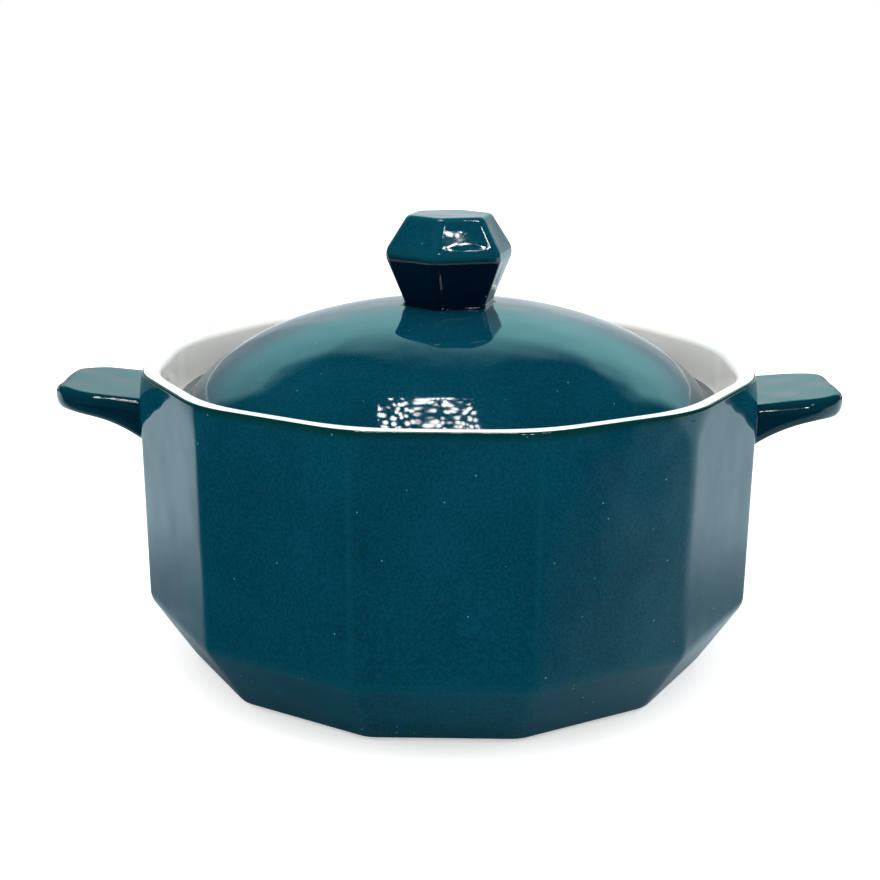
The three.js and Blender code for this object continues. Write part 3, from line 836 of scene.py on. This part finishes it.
# %% Floor
FLOOR_HALF = 3.0
FLOOR_WHITE = (0.9, 0.9, 0.9, 1)
FLOOR_MIRRORED = (0.60, 0.74, 0.79, 1)
FLOOR_BLACK = (0, 0, 0, 1)
FLOOR_LIFT = 0.45
DARK_TOWARDS = Vector((0.3, 0.95, 0.0))
DARK_FROM, DARK_TO = 0.02, -0.14
BACK_SLANT = -0.6
BACK_FROM, BACK_TO = 0.08, 0.24
BACK_CLEARS, BACK_ENDS = 0.34, 0.46
# a painted shadow in the floor's reflection: a half-dark ring round the pot
NEAR_FROM, NEAR_TO = 0.12, 0.16
NEAR_CLEARS, NEAR_ENDS = 0.16, 0.27
NEAR_PAINTED_SHADOW = 0.55


def floor_material():
    """White, lifted for the camera. For mirrors it is dark in front of one slanting line and in a band behind two,
    and half dark in a ring round the pot, a painted shadow."""
    material = bpy.data.materials.new("studio_floor")
    material.use_nodes = True
    tree = material.node_tree
    tree.nodes.clear()
    path = add_node(tree, "ShaderNodeLightPath").outputs
    place = add_node(tree, "ShaderNodeTexCoord").outputs["Object"]
    depth = add_node(tree, "ShaderNodeVectorMath", {0: place, 1: DARK_TOWARDS}, operation="DOT_PRODUCT")
    front = spread(tree, depth.outputs["Value"], DARK_TO, DARK_FROM, 1.0, 0.0)
    axes = add_node(tree, "ShaderNodeSeparateXYZ", {"Vector": place}).outputs
    sideways = calculate(tree, "ABSOLUTE", axes["X"])
    behind = calculate(tree, "MULTIPLY_ADD", sideways, BACK_SLANT, axes["Y"])
    reach = add_node(tree, "ShaderNodeVectorMath", {0: place}, operation="LENGTH").outputs["Value"]
    band_start = spread(tree, behind, BACK_FROM, BACK_TO)
    band_end = spread(tree, behind, BACK_CLEARS, BACK_ENDS, 1.0, 0.0)
    # the painted shadow ring, for mirrors only
    shadow_ring_start = spread(tree, reach, NEAR_FROM, NEAR_TO, 0.0, NEAR_PAINTED_SHADOW)
    shadow_ring_end = spread(tree, reach, NEAR_CLEARS, NEAR_ENDS, 1.0, 0.0)
    dark = calculate(tree, "MAXIMUM", front, calculate(tree, "MULTIPLY", band_start, band_end))
    dark = calculate(tree, "MAXIMUM", dark, calculate(tree, "MULTIPLY", shadow_ring_start, shadow_ring_end))
    hidden = calculate(tree, "MULTIPLY", dark, path["Is Glossy Ray"])
    tinted = mix_colours(tree, path["Is Glossy Ray"], FLOOR_WHITE, FLOOR_MIRRORED)
    colour = mix_colours(tree, hidden, tinted, FLOOR_BLACK)
    sheet = add_node(tree, "ShaderNodeBsdfDiffuse", {"Color": colour}).outputs[0]
    lift = calculate(tree, "MULTIPLY", path["Is Camera Ray"], FLOOR_LIFT)
    glow = add_node(tree, "ShaderNodeEmission", {"Strength": lift}).outputs[0]
    total = add_node(tree, "ShaderNodeAddShader", {0: sheet, 1: glow}).outputs[0]
    from_below = add_node(tree, "ShaderNodeNewGeometry").outputs["Backfacing"]
    clear = add_node(tree, "ShaderNodeBsdfTransparent").outputs[0]
    surface = add_node(tree, "ShaderNodeMixShader", {0: from_below, 1: total, 2: clear}).outputs[0]
    add_node(tree, "ShaderNodeOutputMaterial", {"Surface": surface})
    return material


def stage_sheet(name, corners, material):
    """One four-cornered face that belongs to the studio and not to the pot."""
    mesh = bpy.data.meshes.new(name)
    mesh.from_pydata([tuple(corner) for corner in corners], [], [(0, 1, 2, 3)])
    mesh.materials.append(material)
    sheet = bpy.data.objects.new(name, mesh)
    bpy.context.scene.collection.objects.link(sheet)
    return sheet


stage_sheet("floor", FLOOR_HALF * np.array([(-1, -1, 0), (1, -1, 0), (1, 1, 0), (-1, 1, 0)]), floor_material())
print("floor:", 2 * FLOOR_HALF, "metres wide")

# %% [markdown]
# ## The surroundings
# The camera sees plain white. Mirrors see a white backdrop behind the pot, a quarter of the way round, that ends a
# third of the way to the zenith, and dark elsewhere. In the middle it fades out slowly, at the sides it ends sharply
# and is dimmer near the floor, and it is brighter and greener higher up. All other light comes from everywhere, but
# more from the back than from the front, and most from the two sides, as from windows round the table.

# %% World
AMBIENT_FRONT = 0.8
AMBIENT_BACK = 1.15
AMBIENT_SIDES = 1.4
AMBIENT_TURNS = (-0.7, 0.7)
BACKDROP_LEFT = 0.64
BACKDROP_RIGHT = 1.16
BACKDROP_FULL = 0.53
BACKDROP_END_MIDDLE = 0.88
BACKDROP_END_SIDES = 0.66
BACKDROP_END_DROPS = (0.0, 0.35)
BACKDROP_LOW_MIDDLE = 1.0
BACKDROP_LOW_SIDES = 0.65
BACKDROP_LOW_DIMS = (0.15, 0.30)
BACKDROP_HIGH = 1.4
BACKDROP_BRIGHTENS = (0.15, 0.45)
BACKDROP_SIDE = (radians(44), radians(52))
BACKDROP_TINT = (0.05, 0.45)
TINT_LOW = (0.85, 0.96, 1.0, 1)
TINT_HIGH = (0.52, 1.10, 1.08, 1)


def build_world():
    """Strength and colour by direction, chosen by the kind of ray that asks."""
    world = bpy.data.worlds.new("studio")
    world.use_nodes = True
    tree = world.node_tree
    path = add_node(tree, "ShaderNodeLightPath").outputs
    towards = add_node(tree, "ShaderNodeTexCoord").outputs["Generated"]
    axes = add_node(tree, "ShaderNodeSeparateXYZ", {"Vector": towards}).outputs
    sideways = calculate(tree, "ABSOLUTE", axes["X"])
    end = spread(tree, sideways, *BACKDROP_END_DROPS, BACKDROP_END_MIDDLE, BACKDROP_END_SIDES)
    below_end = spread(tree, axes["Z"], BACKDROP_FULL, end, 1.0, 0.0)
    behind = spread(tree, calculate(tree, "ARCTAN2", sideways, axes["Y"]), *BACKDROP_SIDE, 1.0, 0.0)
    to_right = spread(tree, axes["X"], -1.0, 1.0, BACKDROP_LEFT, BACKDROP_RIGHT)
    near_floor = spread(tree, sideways, *BACKDROP_LOW_DIMS, BACKDROP_LOW_MIDDLE, BACKDROP_LOW_SIDES)
    backdrop = spread(tree, axes["Z"], *BACKDROP_BRIGHTENS, near_floor, BACKDROP_HIGH)
    for share in (below_end, behind, to_right):
        backdrop = calculate(tree, "MULTIPLY", backdrop, share)
    along = spread(tree, axes["Y"], *AMBIENT_TURNS, AMBIENT_FRONT, AMBIENT_BACK)
    to_sides = calculate(tree, "MULTIPLY", sideways, sideways)
    ambient = calculate(tree, "MULTIPLY_ADD", to_sides, AMBIENT_SIDES, along)
    mirrored = calculate(tree, "MAXIMUM", path["Is Glossy Ray"], path["Is Transmission Ray"])
    unseen = add_node(tree, "ShaderNodeMix", {0: mirrored, 2: ambient, 3: backdrop}).outputs[0]
    strength = add_node(tree, "ShaderNodeMix", {0: path["Is Camera Ray"], 2: unseen, 3: 1.0}).outputs[0]
    tint = mix_colours(tree, spread(tree, axes["Z"], *BACKDROP_TINT), TINT_LOW, TINT_HIGH)
    colour = mix_colours(tree, mirrored, (1, 1, 1, 1), tint)
    tree.links.new(strength, tree.nodes["Background"].inputs["Strength"])
    tree.links.new(colour, tree.nodes["Background"].inputs["Color"])
    return world


bpy.context.scene.world = build_world()
print("world:", bpy.context.scene.world.name)

# %% [markdown]
# ## Lamp and windows
# One soft lamp hangs overhead. Mirrors don't show it, because a plain square would look like a stamp on the lid.
# They show three bright panels instead: a wide one overhead, broken up like a window with leaves before it, one at
# the front right that gleams on a single face of the knob, and one at the front that draws a line on the right lug.
# A panel is an emitter that only mirrors can see.

# %% Lamp and windows
LAMP_PLACE = (-0.1, -0.1, 1.2)
LAMP_SIZE = 0.45
LAMP_POWER = 3.0
PANEL_AIM = Vector((0.0, 0.0, 0.14))
LEAF_RANDOMNESS = 0.9
LEAF_EDGE = (0.3, 0.5)
BOUGH_SCALE = 0.35
BOUGH_EDGE = 0.1


def panel_material(name, strength, cells, cover):
    """Emission in bright cells with dark gaps, where a coarser noise is above the cover. The cells are that many to
    the metre along X, Y and Z."""
    material = bpy.data.materials.new(name)
    material.use_nodes = True
    material.cycles.emission_sampling = "NONE"
    tree = material.node_tree
    tree.nodes.clear()
    place = add_node(tree, "ShaderNodeTexCoord").outputs["Object"]
    scaled = add_node(tree, "ShaderNodeVectorMath", {0: place, 1: cells}, operation="MULTIPLY").outputs["Vector"]
    leaves = add_node(tree, "ShaderNodeTexVoronoi", {"Vector": scaled, "Scale": 1.0, "Randomness": LEAF_RANDOMNESS})
    boughs = add_node(tree, "ShaderNodeTexNoise", {"Vector": scaled, "Scale": BOUGH_SCALE, "Detail": 2.0})
    gaps = spread(tree, leaves.outputs["Distance"], *LEAF_EDGE, strength, 0.0)
    uncovered = spread(tree, boughs.outputs["Fac"], cover, cover + BOUGH_EDGE)
    bright = calculate(tree, "MULTIPLY", gaps, uncovered)
    glow = add_node(tree, "ShaderNodeEmission", {"Strength": bright}).outputs[0]
    add_node(tree, "ShaderNodeOutputMaterial", {"Surface": glow})
    return material


def add_panel(name, centre, width, height, strength, cells, cover, taper=1.0):
    """A sheet at the centre that faces the lid, seen by mirrors only. Its far edge is its near edge times the
    taper."""
    centre = Vector(centre)
    facing = (PANEL_AIM - centre).normalized()
    near = facing.cross(Vector((0, 1, 0))).normalized() * width / 2
    far = near * taper
    along = near.cross(facing).normalized() * height / 2
    corners = [centre - near - along, centre + near - along, centre + far + along, centre - far + along]
    panel = stage_sheet(name, corners, panel_material(name, strength, cells, cover))
    panel.visible_camera = False
    panel.visible_diffuse = False
    panel.visible_transmission = False
    panel.visible_shadow = False
    return panel


add_panel("overhead_window", (-0.12, -0.08, 1.3), 0.64, 0.58, 24.0, (26, 12, 1), 0.33, taper=0.7)
add_panel("knob_window", (0.483, -0.435, 0.92), 0.11, 0.09, 70.0, (30, 30, 30), 0.4)
add_panel("lug_window", (0.35, -0.77, 0.72), 0.20, 0.16, 40.0, (12, 12, 12), 0.1)

lamp_data = bpy.data.lights.new("lamp", "AREA")
lamp_data.size = LAMP_SIZE
lamp_data.energy = LAMP_POWER
lamp = bpy.data.objects.new("lamp", lamp_data)
lamp.location = LAMP_PLACE
lamp.visible_glossy = False
bpy.context.scene.collection.objects.link(lamp)
bpy.context.scene.view_settings.view_transform = "Standard"
print("lamp of", LAMP_POWER, "watts at", LAMP_PLACE)
